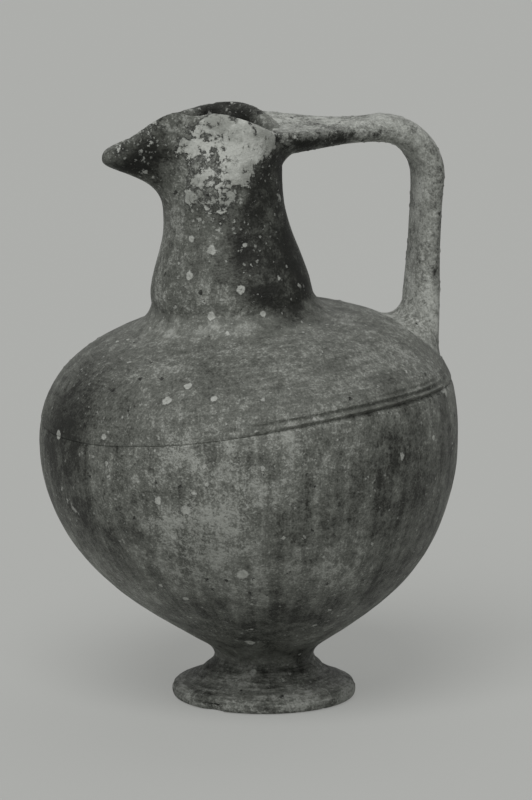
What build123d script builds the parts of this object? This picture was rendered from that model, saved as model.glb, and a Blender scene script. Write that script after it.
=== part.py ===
from build123d import *
import math
import os

# Jug with a pinched three-lobed mouth, a strap handle and a stemmed foot.
# Lengths are millimetres, angles are degrees. +Z is up.
# The spout points to -X and the handle to +X.
# The origin is the centre of the ring that the foot rests on.
# The belly sags towards the spout, so what stands on its seam leans that way.
# Heights up to the seam are measured from the ground.
# Above the seam each one is measured along the leaning axis, from what its heading names.

# Foot
foot_radius = 37.2
foot_edge_thickness = 6.5
foot_edge_bulge = 2.0
foot_slope_radius = 24.0
foot_slope_height = 12.4
foot_height = 20.0
stem_radius = 19.0
foot_hollow_radius = 26.0
foot_hollow_depth = 9.0

# Belly, a thrown wall
body_wall = 5.5
floor_thickness = 8.0
low_belly_radius = 40.2
low_belly_height = 33.0
mid_belly_radius = 67.1
mid_belly_height = 57.0
belly_radius = 84.3
belly_height = 105.0
belly_sag = 7.5
body_lean = 5.3

# Seam between belly and shoulder
seam_radius = 82.9
seam_height = 122.0
seam_scarf = 2.0
groove_size = 0.9
seam_coil_radius = 4.0

# Shoulder: its round stands above the seam and inside it, and the neck's seat above the round
shoulder_inset = 8.9
shoulder_height = 16.0
neck_seat_radius = 41.0
neck_seat_height = 17.5

# Neck: collar above the seat, waist above the collar, throat above the waist
neck_wall = 5.2
neck_base_radius = 36.0
neck_offset = 2.2
collar_radius = 32.3
collar_height = 10.5
waist_radius = 28.3
waist_height = 16.0
throat_radius = 24.3
throat_height = 21.0

# Pinched mouth: lip above the throat
lip_radius = 26.0
lip_height = 37.9
lip_wall = 7.0
lip_roll = 5.61
spout_reach = 22.7
spout_dip = 10.0
spout_roll = 3.8
pinch_depth = 8.0
back_dip = 11.5
mouth_tilt = 1.4
section_points = 36

# Directions round the mouth and spreads of its lobes and dips, in degrees from the handle
pinch_angle = 115.0
pinch_width = 40.0
spout_width = 22.0
spout_dip_width = 20.0
spout_roll_turn = 160.0
spout_roll_width = 18.0
back_dip_turn = -24.0
back_dip_width = 46.0

# Handle, a pulled strap: its mouth end and corner stand above the throat, its root above the seam
# The root lies inside the seam's radius, and the corner beyond the root
strap_mouth_height = 26.2
strap_corner_height = 18.2
strap_corner_reach = 12.2
strap_corner_radius = 20.5
strap_root_reach = -8.3
strap_root_height = 14.0
strap_run_in = 26.0
strap_mouth_width = 32.0
strap_width = 24.0
strap_root_width = 29.0
strap_mouth_thickness = 12.0
strap_run_thickness = 9.6
strap_corner_thickness = 12.3
strap_thickness = 11.0
strap_root_thickness = 13.0
strap_mouth_camber = 5.0
strap_roll = 8.5
strap_squareness = 0.8

# Luting clay
foot_lute_drop = 5.0
foot_lute_reach = 5.5
neck_lute_reach = 5.0
strap_lute_length = 14.0
strap_lute_swell = 14.0
root_lute_length = 18.0
root_lute_swell = 9.0
lute_edge = 0.9

shoulder_radius = seam_radius - shoulder_inset

# Levels above the ground, along the leaning axis
shoulder_level = seam_height + shoulder_height
neck_seat_level = shoulder_level + neck_seat_height
collar_level = neck_seat_level + collar_height
waist_level = collar_level + waist_height
throat_level = waist_level + throat_height
lip_level = throat_level + lip_height

upper_lean = (
    Location((-belly_sag, 0, seam_height)) * Rotation(0, -body_lean, 0) * Location((0, 0, -seam_height))
)


def at(radius, height):
    """A point of an outline beside the axis."""
    return (radius, 0, height)


def spin(edges):
    """The solid swept by a closed outline that turns about the axis."""
    return revolve(make_face(edges), Axis.Z)


def hump(angle, centre, width):
    """A smooth bump of height one at an angle, fading over a width."""
    return math.exp(-(((angle - centre) / width) ** 2))


def largest(shape):
    """The biggest solid of a trimmed shape."""
    return max(shape.solids(), key=lambda solid: solid.volume)


def slab(bottom, thickness):
    """A wide flat block square to the axis, from one height upwards."""
    reach = 4 * belly_radius
    return Location((0, 0, bottom + thickness / 2)) * Box(reach, reach, thickness)


# Shoulder, closing in from the seam to the seat of the neck
neck_hole_radius = neck_base_radius - neck_wall - neck_offset
seam_slope = (-0.22, 0, 1)
shoulder_outer = Spline(
    at(seam_radius, seam_height),
    at(shoulder_radius, shoulder_level),
    at(neck_seat_radius, neck_seat_level),
    tangents=[seam_slope, (-1, 0, 0.3)],
)
shoulder_inner = Spline(
    at(seam_radius - body_wall, seam_height),
    at(shoulder_radius - 0.77 * body_wall, shoulder_level - 0.63 * body_wall),
    at(neck_hole_radius, neck_seat_level - body_wall),
    tangents=[seam_slope, (-1, 0, 0.1)],
)
scarf_inner = at(seam_radius - 1.05 * body_wall, seam_height - seam_scarf)
shoulder_ring = spin(
    [
        shoulder_outer,
        Line(at(neck_seat_radius, neck_seat_level), at(neck_hole_radius, neck_seat_level)),
        Line(at(neck_hole_radius, neck_seat_level), at(neck_hole_radius, neck_seat_level - body_wall)),
        shoulder_inner,
        Line(at(seam_radius - body_wall, seam_height), scarf_inner),
        Line(scarf_inner, at(seam_radius, seam_height)),
    ]
)
shoulder_filled = spin(
    [
        shoulder_outer,
        Line(at(neck_seat_radius, neck_seat_level), at(0, neck_seat_level)),
        Line(at(0, neck_seat_level), at(0, foot_height)),
        Line(at(0, foot_height), at(seam_radius, foot_height)),
        Line(at(seam_radius, foot_height), at(seam_radius, seam_height)),
    ]
)
groove = spin(
    Polyline(
        at(seam_radius - groove_size, seam_height),
        at(seam_radius + groove_size, seam_height - 2 * groove_size),
        at(seam_radius + groove_size, seam_height + 2 * groove_size),
        close=True,
    )
)
shoulder = shoulder_ring - groove

# Belly, rising square to the ground at the foot and leaning at the seam
belly_outer = Spline(
    at(stem_radius, foot_height),
    at(low_belly_radius, low_belly_height),
    at(mid_belly_radius, mid_belly_height),
    at(belly_radius, belly_height),
    at(seam_radius, seam_height),
    tangents=[(1, 0, 0.5), seam_slope],
)
belly_inner = Spline(
    at(stem_radius, foot_height + floor_thickness),
    at(low_belly_radius - 0.58 * body_wall, low_belly_height + 0.81 * body_wall),
    at(mid_belly_radius - 0.80 * body_wall, mid_belly_height + 0.60 * body_wall),
    at(belly_radius - body_wall, belly_height),
    at(seam_radius - body_wall, seam_height),
    tangents=[(1, 0, 0.3), seam_slope],
)


def belly_section(point):
    """A round section of the belly, moved and tilted with the sag of the wall."""
    share = (point.Z - foot_height) / (seam_height - foot_height)
    tilt = body_lean * math.sin(0.5 * math.pi * share) ** 2
    place = Location((-belly_sag * share, 0, point.Z)) * Rotation(0, -tilt, 0)
    return place * Wire.make_circle(point.X)


belly_steps = [step / 7 for step in range(8)]
belly_filled = Solid.make_loft([belly_section(belly_outer @ step) for step in belly_steps])
belly_hollow = Solid.make_loft([belly_section(belly_inner @ step) for step in belly_steps])
belly = largest(belly_filled - belly_hollow - upper_lean * shoulder_ring - upper_lean * groove)

# Coil pressed over the seam from inside
seam_inner_radius = seam_radius - body_wall
coil = Location((0, 0, seam_height)) * Torus(seam_inner_radius + 0.3 * seam_coil_radius, seam_coil_radius)
seam_lute = largest(upper_lean * coil - upper_lean * shoulder_ring - belly)

# Foot
foot_shoulder = foot_radius - foot_edge_bulge
foot = spin(
    [
        TangentArc(at(0, foot_hollow_depth), at(foot_hollow_radius, 0), tangent=(1, 0, 0)),
        Line(at(foot_hollow_radius, 0), at(foot_shoulder, 0)),
        ThreePointArc(
            at(foot_shoulder, 0),
            at(foot_radius, foot_edge_thickness / 2),
            at(foot_shoulder, foot_edge_thickness),
        ),
        Spline(
            at(foot_shoulder, foot_edge_thickness),
            at(foot_slope_radius, foot_slope_height),
            at(stem_radius, foot_height),
            tangents=[(-1, 0, 0.35), (-0.1, 0, 1)],
        ),
        Line(at(stem_radius, foot_height), at(0, foot_height)),
        Line(at(0, foot_height), at(0, foot_hollow_depth)),
    ]
)

# Ring of clay round the stem joint
foot_lute_outer = stem_radius + foot_lute_reach
foot_lute_top = foot_height + 0.6 * foot_lute_reach
foot_lute_bottom = foot_height - foot_lute_drop
foot_lute_blank = spin(
    [
        Line(at(0, foot_lute_bottom), at(stem_radius + lute_edge, foot_lute_bottom)),
        TangentArc(
            at(stem_radius + lute_edge, foot_lute_bottom),
            at(foot_lute_outer, foot_lute_top - lute_edge),
            tangent=(0, 0, 1),
        ),
        Line(
            at(foot_lute_outer, foot_lute_top - lute_edge),
            at(foot_lute_outer - lute_edge, foot_lute_top),
        ),
        Line(at(foot_lute_outer - lute_edge, foot_lute_top), at(0, foot_lute_top)),
        Line(at(0, foot_lute_top), at(0, foot_lute_bottom)),
    ]
)
foot_lute = largest(foot_lute_blank - belly_filled - foot)


# Neck and pinched mouth
def lip_reach(angle):
    """Radius of the lip's outer edge, round from the handle at zero."""
    turn = abs(angle)
    pinched = lip_radius - pinch_depth * hump(turn, pinch_angle, pinch_width)
    return pinched + spout_reach * hump(turn, 180, spout_width)


def lip_crest(angle):
    """Height of the lip's crest, low at the spout's tip and where the strap leaves.

    The mouth is tilted and its spout rolled, so the lip stands higher on the -Y side.
    """
    turn = abs(angle)
    side = -math.sin(math.radians(angle))
    spout_side = math.sin(math.radians(spout_roll_turn))
    spout_drop = spout_dip * hump(turn, 180, spout_dip_width)
    back_drop = back_dip * hump(angle, back_dip_turn, back_dip_width)
    rolled = spout_roll / spout_side * hump(turn, spout_roll_turn, spout_roll_width)
    return lip_level - spout_drop - back_drop + side * (mouth_tilt + rolled)


def closed_curve(points):
    """A smooth closed wire through points that are evenly counted round."""
    steps = [index / len(points) for index in range(len(points) + 1)]
    return Wire([Edge.make_spline(points, periodic=True, parameters=steps)])


def round_section(radius, height):
    """A round section of the neck."""
    points = []
    for index in range(section_points):
        turn = 2 * math.pi * index / section_points
        points.append((radius * math.cos(turn) - neck_offset, radius * math.sin(turn), height))
    return closed_curve(points)


def pinched_section(rise, flare, inset):
    """A section of the mouth between throat (0) and lip (1), moved in by an inset."""
    points = []
    for index in range(section_points):
        turn = 2 * math.pi * index / section_points
        angle = math.degrees(math.atan2(math.sin(turn), math.cos(turn)))
        height = throat_level + rise * (lip_crest(angle) - throat_level)
        radius = throat_radius + flare * (lip_reach(angle) - throat_radius) - inset
        points.append((radius * math.cos(turn) - neck_offset, radius * math.sin(turn), height))
    return closed_curve(points)


lip_edge_rise = 1 - lip_roll / lip_height
neck_rings = [
    (neck_base_radius, neck_seat_level),
    (collar_radius, collar_level),
    (waist_radius, waist_level),
    (throat_radius, throat_level),
]
mouth_rings = [(0.27, 0.11), (0.5, 0.4), (0.68, 0.79), (lip_edge_rise, 1.0)]
outside = [round_section(radius, height) for radius, height in neck_rings]
outside += [pinched_section(rise, flare, 0) for rise, flare in mouth_rings]
inside = [round_section(radius - neck_wall, height) for radius, height in neck_rings]
inside += [pinched_section(rise, flare, lip_wall) for rise, flare in mouth_rings]
lip = []
for step in range(7):
    roll = math.pi * step / 6
    rise = lip_edge_rise + (1 - lip_edge_rise) * math.sin(roll)
    lip.append(pinched_section(rise, 1.0, 0.5 * lip_wall * (1 - math.cos(roll))))
neck_faces = [Face(outside[0], [inside[0]])]
for sections in (outside, lip, inside[::-1]):
    neck_faces += Shell.make_loft(sections).faces()
neck = Solid(Shell(neck_faces))

# Ring of clay round the neck's base


def lute_point(out, up):
    """A point of the neck's ring of clay, in shares of its reach from the neck's base."""
    return at(neck_base_radius + out * neck_lute_reach, neck_seat_level + up * neck_lute_reach)


neck_lute_blank = Location((-neck_offset, 0, 0)) * spin(
    [
        Line(lute_point(-0.6, -0.2), lute_point(1, -0.8)),
        Line(lute_point(1, -0.8), lute_point(1, -0.1)),
        ThreePointArc(lute_point(1, -0.1), lute_point(0.18, 0.38), lute_point(-0.32, 1)),
        Line(lute_point(-0.32, 1), lute_point(-0.6, -0.2)),
    ]
)
neck_lute = largest(neck_lute_blank - shoulder_filled - neck)

# Path of the strap: along from the mouth, round a corner and down into the shoulder
strap_start = Vector(-neck_offset, 0, throat_level + strap_mouth_height)
strap_root = Vector(seam_radius + strap_root_reach, 0, seam_height + strap_root_height)
strap_corner = Vector(strap_root.X + strap_corner_reach, 0, throat_level + strap_corner_height)
run_way = (strap_corner - strap_start).normalized()
drop_way = (strap_root - strap_corner).normalized()
strap_end = strap_root + drop_way * strap_run_in
strap_path = FilletPolyline(strap_start, strap_corner, strap_end, radius=strap_corner_radius)
corner_arc = strap_path.edges().filter_by(GeomType.CIRCLE)[0]
run_length = (corner_arc.position_at(0) - strap_start).length
drop_length = (strap_root - corner_arc.position_at(1)).length


def squared(share, squareness):
    """A sine or cosine drawn towards one, which flattens an ellipse into a strap."""
    return math.copysign(abs(share) ** squareness, share)


def strap_section(place, way, width, thickness, squareness, camber=0, roll=0):
    """A section square to the strap's path, cambered up at its edges and rolled about the path."""
    level = Vector(0, 1, 0)
    across = level.rotate(Axis((0, 0, 0), way), roll)
    lift = way.cross(across)
    points = []
    for index in range(section_points):
        turn = 2 * math.pi * (index / section_points + 0.25)
        side = squared(math.cos(turn), squareness)
        offset = 0.5 * thickness * squared(math.sin(turn), squareness) + camber * (side * side - 0.5)
        points.append(place + across * (0.5 * width * side) + lift * offset)
    return closed_curve(points)


def run_section(length, width, thickness, curl):
    """A section of the run from the mouth, with a share of the full camber and roll."""
    place = strap_start + run_way * length
    camber = curl * strap_mouth_camber
    return strap_section(place, run_way, width, thickness, strap_squareness, camber, curl * strap_roll)


def drop_section(above_root, width, thickness):
    """A section of the drop to the shoulder, at a length above the root."""
    place = strap_root - drop_way * above_root
    return strap_section(place, drop_way, width, thickness, strap_squareness)


# Strap, a skin in three stretches with flat ends
narrowing = run_length - lip_radius
run_sections = [
    run_section(0, strap_mouth_width, strap_mouth_thickness, 1),
    run_section(lip_radius, strap_mouth_width, strap_mouth_thickness, 1),
    run_section(
        lip_radius + 0.5 * narrowing,
        0.4 * strap_mouth_width + 0.6 * strap_width,
        strap_run_thickness,
        0.4,
    ),
    run_section(run_length, strap_width, strap_thickness, 0),
]
corner_sections = [run_sections[-1]]
for step in range(1, 4):
    place = corner_arc @ (step / 4)
    way = corner_arc % (step / 4)
    swell = (strap_corner_thickness - strap_thickness) * math.sin(math.pi * step / 4)
    corner_sections.append(strap_section(place, way, strap_width, strap_thickness + swell, strap_squareness))
drop_sections = [
    drop_section(drop_length, strap_width, strap_thickness),
    drop_section(0.5 * drop_length, strap_width, strap_thickness),
    drop_section(0, strap_root_width, strap_root_thickness),
    drop_section(-strap_run_in, strap_root_width, strap_root_thickness),
]
corner_sections.append(drop_sections[0])
strap_faces = [Face(run_sections[0]), Face(drop_sections[-1])]
for sections in (run_sections, corner_sections, drop_sections):
    strap_faces += Shell.make_loft(sections).faces()
strap = Solid(Shell(strap_faces))
bore_radius = 0.5 * (throat_radius + lip_radius - lip_wall)
mouth_bore = Location(strap_start) * Cylinder(bore_radius, lip_height)
body_below = upper_lean.inverse() * belly_filled
handle = largest(strap - shoulder_filled - body_below - neck - mouth_bore)

# Clay thumbed in under the strap at the mouth, thinning away along the strap
strap_lute_sections = []
for step in range(5):
    share = step / 4
    place = strap_start + run_way * (throat_radius - 0.5 * neck_wall + share * strap_lute_length)
    width = strap_width + (1 - share) * lute_edge
    thickness = strap_mouth_thickness + lute_edge + 2 * strap_lute_swell * (1 - share) ** 2
    strap_lute_sections.append(strap_section(place, run_way, width, thickness, 1))
above_strap = slab(strap_start.Z, lip_height)
strap_lute_blank = Solid.make_loft(strap_lute_sections)
handle_top_lute = largest(strap_lute_blank - above_strap - strap - neck - mouth_bore)


# Clay smeared round the strap's lower root
def root_lute_section(above_root, width, thickness, inward):
    """An oval section of the smeared clay, moved in from the strap towards the neck."""
    place = strap_root - drop_way * above_root - Vector(inward, 0, 0)
    return strap_section(place, drop_way, width, thickness, 1)


root_lute_blank = Solid.make_loft(
    [
        root_lute_section(
            -strap_run_in,
            strap_root_width + 2 * root_lute_swell,
            strap_root_thickness + 2 * root_lute_swell,
            2 * root_lute_swell,
        ),
        root_lute_section(
            0,
            strap_root_width + 0.8 * root_lute_swell,
            strap_root_thickness + 0.8 * root_lute_swell,
            0.3 * root_lute_swell,
        ),
        root_lute_section(root_lute_length, strap_width + 4 * lute_edge, strap_thickness + 2 * lute_edge, 0),
    ]
)
handle_root_lute = largest(root_lute_blank - shoulder_filled - body_below - strap)

pieces = {
    "foot": foot,
    "foot_lute": foot_lute,
    "belly": belly,
    "seam_lute": seam_lute,
    "shoulder": upper_lean * shoulder,
    "neck": upper_lean * neck,
    "neck_lute": upper_lean * neck_lute,
    "handle": upper_lean * handle,
    "handle_top_lute": upper_lean * handle_top_lute,
    "handle_root_lute": upper_lean * handle_root_lute,
}

os.makedirs("parts", exist_ok=True)
for name, piece in pieces.items():
    export_step(piece, f"parts/{name}.step")
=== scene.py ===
import logging
import math
from contextlib import contextmanager
from dataclasses import dataclass
from enum import Enum
from typing import Callable, Dict, Iterator, List, Optional, Sequence, Tuple, Union

import bpy
import numpy as np
from mathutils import Matrix, Vector, noise


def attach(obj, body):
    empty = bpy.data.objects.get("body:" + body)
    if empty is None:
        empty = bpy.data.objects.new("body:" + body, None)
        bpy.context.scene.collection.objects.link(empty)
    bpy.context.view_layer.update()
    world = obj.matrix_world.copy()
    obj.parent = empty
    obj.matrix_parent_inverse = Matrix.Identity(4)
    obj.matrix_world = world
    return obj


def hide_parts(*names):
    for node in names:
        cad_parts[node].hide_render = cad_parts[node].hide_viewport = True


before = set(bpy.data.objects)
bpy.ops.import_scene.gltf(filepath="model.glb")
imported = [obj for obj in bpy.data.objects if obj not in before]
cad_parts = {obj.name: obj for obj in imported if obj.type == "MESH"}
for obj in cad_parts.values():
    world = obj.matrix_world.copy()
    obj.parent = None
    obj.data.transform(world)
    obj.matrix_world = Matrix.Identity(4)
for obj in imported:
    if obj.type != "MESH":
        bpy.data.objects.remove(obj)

# Grey fired jug with a pinched three-lobed mouth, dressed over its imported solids.
# Sizes are millimetres in the frame of the solids, and meshes are metres.

LOG = logging.getLogger("jug")
MM = 0.001
Colour = Tuple[float, float, float]
Point = Tuple[float, float]
Place = Tuple[float, float, float]
Weight = Callable[[Vector], float]
Piece = bpy.types.Object
Socket = bpy.types.NodeSocket
Sockets = Dict[Union[int, str], object]


def grey(red: int, green: int, blue: int) -> Colour:
    """Turns a colour given as screen values into scene-linear light.

    Args:
        red: Red from 0 to 255.
        green: Green from 0 to 255.
        blue: Blue from 0 to 255.

    Returns:
        The colour in linear light.
    """
    linear = []
    for value in (red, green, blue):
        share = value / 255
        linear.append(share / 12.92 if share <= 0.04045 else ((share + 0.055) / 1.055) ** 2.4)
    return (linear[0], linear[1], linear[2])


def fade(value: float, low: float, high: float) -> float:
    """Rises smoothly from zero at low to one at high."""
    share = min(max((value - low) / (high - low), 0.0), 1.0)
    return share * share * (3 - 2 * share)


def hump(value: float, centre: float, width: float) -> float:
    """A smooth bump of height one at a centre, fading over a width."""
    return math.exp(-(((value - centre) / width) ** 2))


def turn_between(angle: float, other: float) -> float:
    """The smaller turn between two directions, in degrees."""
    return (angle - other + 180) % 360 - 180


def roughness_at(place: Vector, size: float) -> float:
    """Grainy unevenness of clay at a place in millimetres, about -1 to 1."""
    return noise.fractal(place / size, 0.9, 2.1, 4)


def uneven(size: float) -> Weight:
    """A weight that swells and sinks gently in lumps of a size in millimetres."""
    return lambda place: 0.5 + 0.5 * roughness_at(place, size)


def spots(size: float, low: float, high: float) -> Weight:
    """A weight that rises only at the peaks of a grain, from one level of it to another."""
    return lambda place: fade(roughness_at(place, size), low, high)


class Stroke(Enum):
    """Which way the potter's tool ran over a surface."""

    UPRIGHT = "Upright"
    AROUND = "Around"


class Noise(Enum):
    """Noises by what they draw: repeats for each metre, detail and roughness."""

    CLOUDS = (26, 3, 0.5)
    MOTTLE = (90, 7, 0.72)
    SCABS = (420, 5, 0.68)
    GRIT = (1200, 4, 0.7)
    CLUSTERS = (48, 2, 0.5)
    FLAKES = (330, 6, 0.7)
    ISLANDS = (110, 4, 0.6)
    WEAR = (60, 3, 0.5)
    UPRIGHT_STREAKS = (210, 5, 0.62)
    STREAKS_AROUND = (420, 5, 0.62)
    FLOOR = (1.2, 3, 0.5)


@dataclass(frozen=True)
class Lean:
    """How the belly sags towards the spout, and what stands on its seam leans."""

    sag: float = 7.5
    tilt: float = 5.3
    foot_height: float = 20.0
    seam_height: float = 122.0

    def upper(self) -> Matrix:
        """The place, in millimetres, of all that stands on the seam.

        Returns:
            The place as a matrix.
        """
        turn = Matrix.Rotation(-math.radians(self.tilt), 4, "Y")
        lift = Matrix.Translation((-self.sag, 0, self.seam_height))
        return lift @ turn @ Matrix.Translation((0, 0, -self.seam_height))

    def upper_place(self, point: Vector) -> Tuple[float, float, float]:
        """Direction in degrees, radius and height of a point about the leaning axis."""
        local = self.upper().inverted() @ point
        return (math.degrees(math.atan2(local.y, local.x)), math.hypot(local.x, local.y), local.z)

    def station(self, radius: float, height: float) -> "Station":
        """A ring about the leaning axis."""
        return Station(radius, self.upper() @ Vector((0, 0, height)), -math.radians(self.tilt))

    def sagging_station(self, radius: float, height: float) -> "Station":
        """A ring of the belly, shifted and tilted with the sag of its wall.

        Args:
            radius: Radius of the ring.
            height: Its height.

        Returns:
            The ring.
        """
        share = (height - self.foot_height) / (self.seam_height - self.foot_height)
        tilt = self.tilt * math.sin(0.5 * math.pi * min(max(share, 0.0), 1.0)) ** 2
        return Station(radius, Vector((-self.sag * share, 0, height)), -math.radians(tilt))


@dataclass(frozen=True)
class Station:
    """One ring of a thrown wall: its radius, its centre and its tilt about Y."""

    radius: float
    centre: Vector
    tilt: float = 0.0


class Outline:
    """A smooth line through a few points, with set directions at both ends."""

    def __init__(self, points: Sequence[Point], start: Point, end: Point) -> None:
        """Finds the slopes that make the line bend evenly.

        Args:
            points: Points as radius and height.
            start: Direction at the first point.
            end: Direction at the last point.
        """
        self.points = np.array(points, float)
        self.steps = np.linalg.norm(np.diff(self.points, axis=0), axis=1)
        self.stops = np.concatenate([[0.0], np.cumsum(self.steps)])
        count = len(points)
        system = np.eye(count)
        slopes = np.zeros((count, 2))
        slopes[0] = np.array(start) / np.linalg.norm(start)
        slopes[-1] = np.array(end) / np.linalg.norm(end)
        for index in range(1, count - 1):
            before, after = self.steps[index - 1], self.steps[index]
            system[index, index - 1 : index + 2] = (after, 2 * (before + after), before)
            rise_before = (self.points[index] - self.points[index - 1]) / before
            rise_after = (self.points[index + 1] - self.points[index]) / after
            slopes[index] = 3 * (after * rise_before + before * rise_after)
        self.slopes = np.linalg.solve(system, slopes)

    @property
    def length(self) -> float:
        """Length of the line from point to point."""
        return float(self.stops[-1])

    def at(self, along: float) -> Point:
        """The point at a length along the line.

        Args:
            along: The length from the first point.

        Returns:
            The point as radius and height.
        """
        index = int(np.clip(np.searchsorted(self.stops, along) - 1, 0, len(self.steps) - 1))
        step = self.steps[index]
        share = (along - self.stops[index]) / step
        near, far = self.points[index], self.points[index + 1]
        leave, arrive = self.slopes[index] * step, self.slopes[index + 1] * step
        place = (2 * share**3 - 3 * share**2 + 1) * near + (share**3 - 2 * share**2 + share) * leave
        place = place + (3 * share**2 - 2 * share**3) * far + (share**3 - share**2) * arrive
        return (float(place[0]), float(place[1]))

    def spaced(self, start: float, end: float, spacing: float) -> List[Point]:
        """Points from one length to another, about a spacing apart, both ends included."""
        count = max(1, round(abs(end - start) / spacing))
        return [self.at(start + (end - start) * index / count) for index in range(count + 1)]


def inset(point: Point, wall: float, across: float, up: float) -> Point:
    """The place inside a wall from a point outside, given the direction in and up through the wall."""
    return (point[0] - across * wall, point[1] + up * wall)


class Bench:
    """The handling that every piece shares: throwing, copying, pressing and painting."""

    DOUBLED = 0.005 * MM
    CRUMB = 0.02 * MM
    FEWEST_FACES_ROUND_A_POINT = 3
    LEAST_SHARE = 0.001

    @staticmethod
    def clear() -> None:
        """Leaves edit mode and deselects everything."""
        if bpy.context.object and bpy.context.object.mode != "OBJECT":
            bpy.ops.object.mode_set(mode="OBJECT")
        bpy.ops.object.select_all(action="DESELECT")

    @staticmethod
    def pick(piece: Piece) -> None:
        """Makes one object the only selected and active one.

        Args:
            piece: The object.
        """
        Bench.clear()
        piece.select_set(True)
        bpy.context.view_layer.objects.active = piece

    @staticmethod
    @contextmanager
    def editing(piece: Piece, parts: str) -> Iterator[None]:
        """Opens a piece in edit mode with everything selected, and closes it again.

        Args:
            piece: The piece to edit.
            parts: What is selected, as VERT or FACE.

        Yields:
            Nothing, while the piece is open.
        """
        Bench.pick(piece)
        bpy.ops.object.mode_set(mode="EDIT")
        bpy.ops.mesh.select_mode(type=parts)
        bpy.ops.mesh.select_all(action="SELECT")
        yield
        bpy.ops.object.mode_set(mode="OBJECT")

    @staticmethod
    def face_outward() -> None:
        """Turns all faces of the piece being edited outward."""
        bpy.ops.mesh.select_all(action="SELECT")
        bpy.ops.mesh.normals_make_consistent(inside=False)

    @staticmethod
    def apply(piece: Piece, modifier: bpy.types.Modifier) -> None:
        """Applies a modifier to its object."""
        Bench.pick(piece)
        bpy.ops.object.modifier_apply(modifier=modifier.name)

    @staticmethod
    def throw(name: str, stations: Sequence[Station], segments: int) -> Piece:
        """Draws a disc up, ring after ring, into a closed wall.

        Args:
            name: Name of the new piece.
            stations: Rings in the order the wall runs, in millimetres.
            segments: Count of points round each ring.

        Returns:
            The new piece, closed by a disc at its first and its last ring.
        """
        Bench.clear()
        first = stations[0]
        bpy.ops.mesh.primitive_circle_add(
            vertices=segments,
            radius=first.radius * MM,
            fill_type="NGON",
            location=first.centre * MM,
            rotation=(0.0, first.tilt, 0.0),
        )
        wall = bpy.context.object
        wall.name = name
        bpy.ops.object.transform_apply(location=True, rotation=True, scale=True)
        with Bench.editing(wall, "FACE"):
            for last, following in zip(stations, stations[1:]):
                bpy.ops.mesh.extrude_region_move()
                growth = following.radius / last.radius
                pivot = last.centre * MM
                bpy.ops.transform.resize(value=(growth, growth, growth), center_override=pivot)
                turn = last.tilt - following.tilt
                bpy.ops.transform.rotate(value=turn, orient_axis="Y", center_override=pivot)
                bpy.ops.transform.translate(value=(following.centre - last.centre) * MM)
            Bench.face_outward()
        return wall

    @staticmethod
    def join_ends(wall: Piece, sides: int) -> None:
        """Opens the discs at both ends of a thrown wall and bridges their rims.

        Args:
            wall: A wall whose first and last ring face each other.
            sides: Count of points round each ring, which only the discs have as sides.
        """
        with Bench.editing(wall, "FACE"):
            bpy.ops.mesh.select_all(action="DESELECT")
            bpy.ops.mesh.select_face_by_sides(number=sides, type="EQUAL")
            bpy.ops.mesh.delete(type="ONLY_FACE")
            bpy.ops.mesh.select_mode(type="EDGE")
            bpy.ops.mesh.select_non_manifold()
            bpy.ops.mesh.bridge_edge_loops()
            Bench.face_outward()

    @staticmethod
    def copy_solid(node: str, name: str) -> Piece:
        """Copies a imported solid's mesh into a new piece and merges its doubled points.

        Args:
            node: The solid's node.
            name: Name of the new piece.

        Returns:
            The new piece.
        """
        Bench.clear()
        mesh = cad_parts[node].data.copy()
        mesh.materials.clear()
        piece = bpy.data.objects.new(name, mesh)
        bpy.context.scene.collection.objects.link(piece)
        with Bench.editing(piece, "VERT"):
            bpy.ops.mesh.remove_doubles(threshold=Bench.DOUBLED)
        return piece

    @staticmethod
    def soften(piece: Piece, grain: float, passes: int) -> None:
        """Gives a piece an even fine mesh and softens it.

        Args:
            piece: A closed piece, or several that overlap, which run together.
            grain: Edge length of the new mesh, in millimetres.
            passes: Passes of smoothing.
        """
        remesh = piece.modifiers.new("even_grain", "REMESH")
        remesh.mode = "VOXEL"
        remesh.voxel_size = grain * MM
        Bench.apply(piece, remesh)
        smoothing = piece.modifiers.new("soften", "SMOOTH")
        smoothing.factor = 0.5
        smoothing.iterations = passes
        Bench.apply(piece, smoothing)

    @staticmethod
    def drop_crumbs(piece: Piece) -> Piece:
        """Merges doubled points, and drops flat flaps and all that isn't joined to the largest part.

        Args:
            piece: The piece to clean.

        Returns:
            Its largest part, under the same name.
        """
        name = piece.name
        with Bench.editing(piece, "VERT"):
            bpy.ops.mesh.quads_convert_to_tris()
            bpy.ops.mesh.remove_doubles(threshold=Bench.CRUMB)
            bpy.ops.mesh.select_all(action="DESELECT")
        corners = np.zeros(len(piece.data.loops), np.int32)
        piece.data.loops.foreach_get("vertex_index", corners)
        faces_round = np.bincount(corners, minlength=len(piece.data.vertices))
        piece.data.vertices.foreach_set("select", faces_round < Bench.FEWEST_FACES_ROUND_A_POINT)
        bpy.ops.object.mode_set(mode="EDIT")
        bpy.ops.mesh.delete(type="VERT")
        bpy.ops.mesh.select_all(action="SELECT")
        bpy.ops.mesh.separate(type="LOOSE")
        bpy.ops.object.mode_set(mode="OBJECT")
        parts = sorted(bpy.context.selected_objects, key=lambda part: len(part.data.polygons))
        for crumb in parts[:-1]:
            bpy.data.objects.remove(crumb, do_unlink=True)
        parts[-1].name = name
        return parts[-1]

    @staticmethod
    def subdivide(piece: Piece, levels: int) -> None:
        """Rounds a thrown wall by subdividing it.

        Args:
            piece: The wall.
            levels: How many times.
        """
        rounding = piece.modifiers.new("round", "SUBSURF")
        rounding.levels = levels
        rounding.render_levels = levels
        Bench.apply(piece, rounding)

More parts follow.
